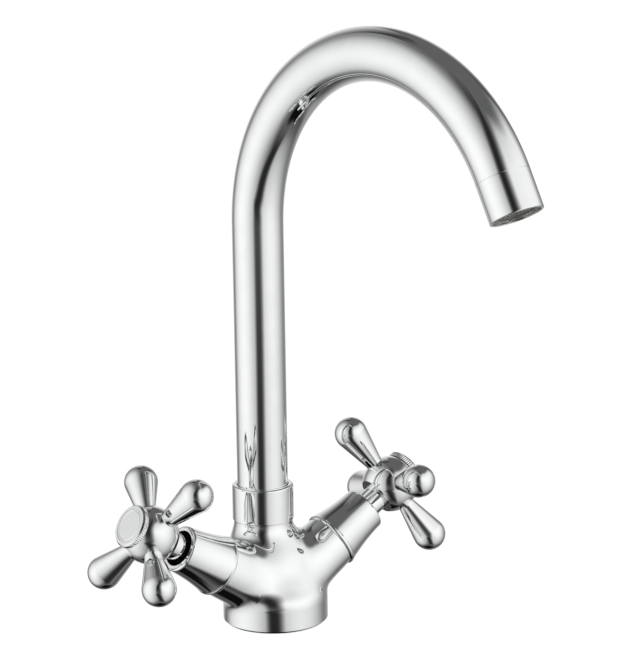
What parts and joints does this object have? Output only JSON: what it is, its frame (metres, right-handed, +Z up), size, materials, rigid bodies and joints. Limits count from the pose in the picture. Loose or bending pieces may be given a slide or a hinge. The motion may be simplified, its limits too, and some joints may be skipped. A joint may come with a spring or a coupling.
{
  "type": "two handle kitchen faucet",
  "caption": "Deck-mounted kitchen mixer tap: a cast body with raised side valves and cross handles, and a gooseneck spout that swivels in a collar nut and ends in an aerator.",
  "frame": {"origin": "centre of the round base, on the worktop that it stands on", "axes": "+Z up the spout's riser; -Y out to the user along the middle of the spout's swing; +X to the right handle"},
  "size_m": [0.1808, 0.2068, 0.286],
  "materials": {
    "chrome": "mirror-polished chrome plate on brass",
    "satin_disc": "satin",
    "brass": "machined",
    "rubber": "moulded",
    "nylon": "moulded",
    "aerator_plastic": "moulded",
    "ceramic": "lapped",
    "steel": "drawn or turned stainless"
  },
  "bodies": {
    "fixed": {"base_seal": "rubber", "body": "chrome", "collar_nut": "chrome", "left_bonnet": "chrome", "left_fixed_disc": "ceramic", "left_seat_seal": "rubber", "left_valve_body": "brass", "left_valve_oring": "rubber", "right_bonnet": "chrome", "right_fixed_disc": "ceramic", "right_seat_seal": "rubber", "right_valve_body": "brass", "right_valve_oring": "rubber", "spout_bush": "nylon"},
    "spout": {"aerator_housing": "aerator_plastic", "aerator_jet_plate": "aerator_plastic", "aerator_screen": "aerator_plastic", "aerator_washer": "rubber", "outlet_sleeve": "chrome", "spigot_oring_lower": "rubber", "spigot_oring_upper": "rubber", "spout_retainer": "steel", "spout_spigot": "brass", "spout_tube": "chrome"},
    "left_handle": {"left_handle_arm_1": "chrome", "left_handle_arm_2": "chrome", "left_handle_arm_3": "chrome", "left_handle_arm_4": "chrome", "left_handle_screw": "steel", "left_hub": "chrome", "left_index_cap": "chrome", "left_index_disc": "satin_disc", "left_moving_disc": "ceramic", "left_slip_washer": "nylon", "left_spindle": "brass", "left_spindle_clip": "steel", "left_spindle_oring_inner": "rubber", "left_spindle_oring_outer": "rubber"},
    "right_handle": {"right_handle_arm_1": "chrome", "right_handle_arm_2": "chrome", "right_handle_arm_3": "chrome", "right_handle_arm_4": "chrome", "right_handle_screw": "steel", "right_hub": "chrome", "right_index_cap": "chrome", "right_index_disc": "satin_disc", "right_moving_disc": "ceramic", "right_slip_washer": "nylon", "right_spindle": "brass", "right_spindle_clip": "steel", "right_spindle_oring_inner": "rubber", "right_spindle_oring_outer": "rubber"}
  },
  "joints": [
    {"name": "spout_swivel", "type": "hinge", "parent": "fixed", "child": "spout", "pos_m": [0, 0.009, 0.05], "axis": [0, 0, 1], "continuous": true},
    {"name": "left_handle_turn", "type": "hinge", "parent": "fixed", "child": "left_handle", "pos_m": [0, 0, 0.0123], "axis": [-0.8554, 0, 0.518], "range_deg": [0, 90]},
    {"name": "right_handle_turn", "type": "hinge", "parent": "fixed", "child": "right_handle", "pos_m": [0, 0, 0.0123], "axis": [0.8554, 0, 0.518], "range_deg": [-90, 0]}
  ]
}
